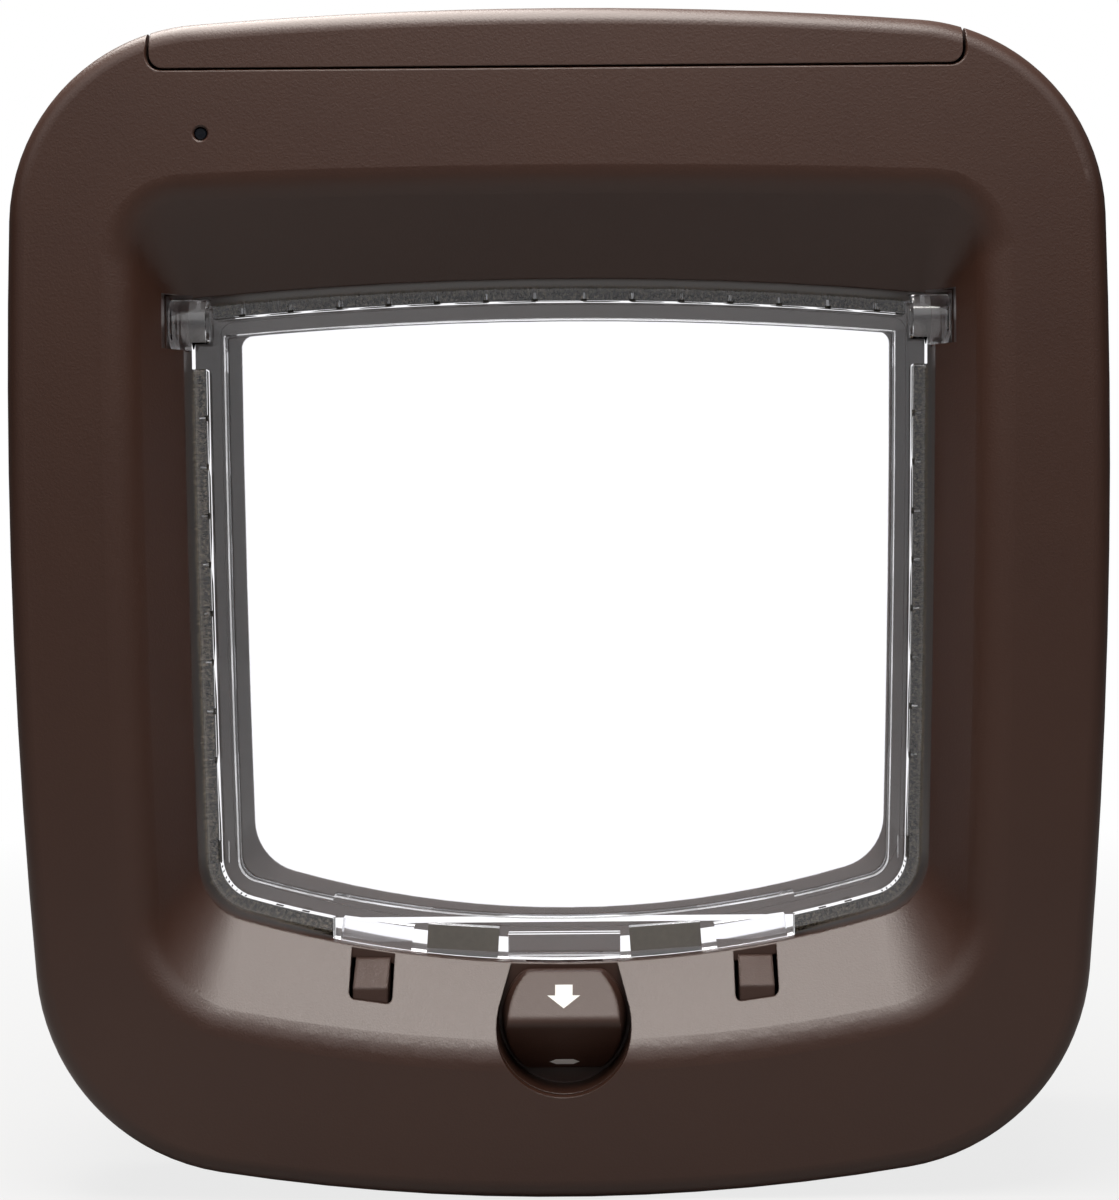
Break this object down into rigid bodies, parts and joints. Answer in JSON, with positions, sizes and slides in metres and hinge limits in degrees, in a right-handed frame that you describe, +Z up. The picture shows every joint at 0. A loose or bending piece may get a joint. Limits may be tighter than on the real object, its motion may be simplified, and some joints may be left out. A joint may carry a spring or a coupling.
{
  "type": "cat flap",
  "caption": "Door-mounted cat flap with a clear swinging flap in a funnel frame, rotary lock, latch catches and a battery compartment",
  "frame": {"origin": "centre of the passage in the plane of the door's room face", "axes": "+X right seen from the room, +Y through the door towards the weather side, +Z up"},
  "size_m": [0.2262, 0.1, 0.244],
  "materials": {
    "brown_moulding": "satin moulded ABS, dark brown",
    "clear_moulding": "clear moulded polycarbonate",
    "brush_pile": "dense grey-brown pile on a woven backing",
    "ferrite": "sintered ferrite, matte",
    "screw_steel": "zinc plated",
    "white_gear": "moulded acetal",
    "motor_can": "drawn steel can",
    "copper_winding": "enamelled copper wire",
    "circuit_laminate": "solder mask over glass fibre laminate",
    "dark_lens": "smoked light pipe",
    "contact_metal": "nickel plated",
    "cell_jacket": "plain printed jacket"
  },
  "bodies": {
    "frame": {"front_cover": "brown_moulding", "back_housing": "brown_moulding", "exterior_frame": "brown_moulding", "frame_magnet_left": "ferrite", "frame_magnet_right": "ferrite", "latch_motor": "motor_can", "antenna_coil": "copper_winding", "circuit_board": "circuit_laminate", "board_screws": "screw_steel", "led_lens": "dark_lens", "battery_springs": "contact_metal", "battery_plates": "contact_metal", "battery_1": "cell_jacket", "battery_2": "cell_jacket", "battery_3": "cell_jacket", "battery_4": "cell_jacket", "frame_screws": "screw_steel", "fixing_screws": "screw_steel", "screw_covers": "brown_moulding"},
    "flap": {"flap_panel": "clear_moulding", "pile_seal_left": "brush_pile", "pile_seal_right": "brush_pile", "pile_seal_top": "brush_pile", "flap_magnet_left": "ferrite", "flap_magnet_right": "ferrite"},
    "lock": {"lock_knob": "brown_moulding", "lock_barrel": "brown_moulding", "knob_screw": "screw_steel"},
    "latch": {"catch_left": "brown_moulding", "catch_right": "brown_moulding", "latch_bar": "brown_moulding"},
    "pinion": {"latch_pinion": "white_gear"},
    "cover": {"battery_cover": "brown_moulding"},
    "button": {"learn_button": "white_gear"}
  },
  "joints": [
    {"name": "flap_swing", "type": "hinge", "parent": "frame", "child": "flap", "pos_m": [0, -0.018, 0.0631], "axis": [1, 0, 0], "range_deg": [-80, 80]},
    {"name": "lock_turn", "type": "hinge", "parent": "frame", "child": "lock", "pos_m": [0, 0, -0.083], "axis": [0, 1, 0], "continuous": true},
    {"name": "latch_lift", "type": "slide", "parent": "frame", "child": "latch", "axis": [0, 0, 1], "range_m": [0, 0.005]},
    {"name": "pinion_turn", "type": "hinge", "parent": "frame", "child": "pinion", "pos_m": [0.0505, -0.01851, -0.099], "axis": [1, 0, 0], "range_deg": [-53.2, 0]},
    {"name": "cover_lift", "type": "slide", "parent": "frame", "child": "cover", "axis": [0, 0, 1], "range_m": [0, 0.02]},
    {"name": "button_press", "type": "slide", "parent": "frame", "child": "button", "axis": [0, 0, -1], "range_m": [0, 0.0008], "stiffness_N_per_m": 300}
  ],
  "couplings": [
    {"joint": "pinion_turn", "follows": "latch_lift", "rad_per_m": -185.19}
  ]
}
